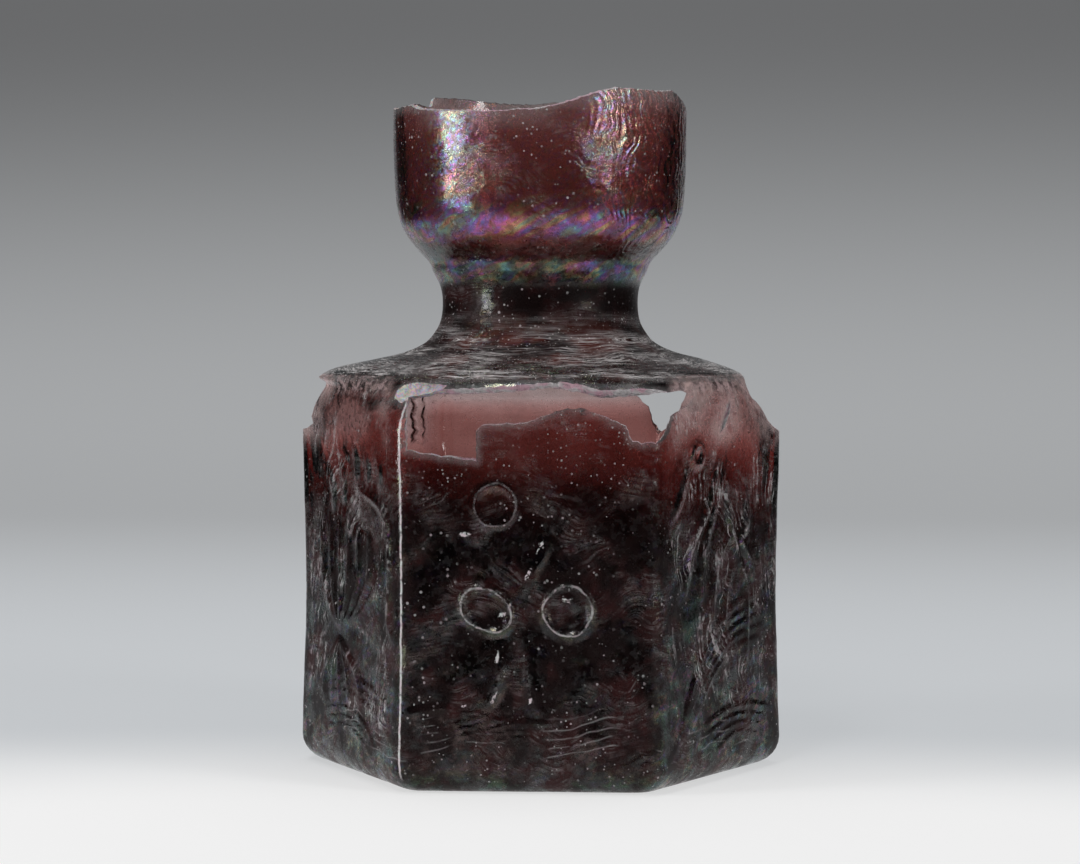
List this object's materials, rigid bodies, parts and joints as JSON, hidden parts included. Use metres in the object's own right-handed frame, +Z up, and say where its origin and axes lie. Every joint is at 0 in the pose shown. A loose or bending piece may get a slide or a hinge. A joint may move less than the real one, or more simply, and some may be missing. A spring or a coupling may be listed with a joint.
{
  "type": "ancient glass jar",
  "caption": "Thin hexagonal mould-blown glass jar with relief panels, a short neck and a wide cup mouth, broken at the rim and shoulder.",
  "frame": {"origin": "middle of the flat base, on the plane it stands on", "axes": "+Z up along the axis of the jar; the panel with two rings and the large break faces -Y; a corner of the body points to +X"},
  "size_m": [0.057, 0.0503, 0.0802],
  "materials": {
    "dark_glass": "gloss"
  },
  "bodies": {
    "root": {"glass_jar": "dark_glass"}
  },
  "joints": []
}
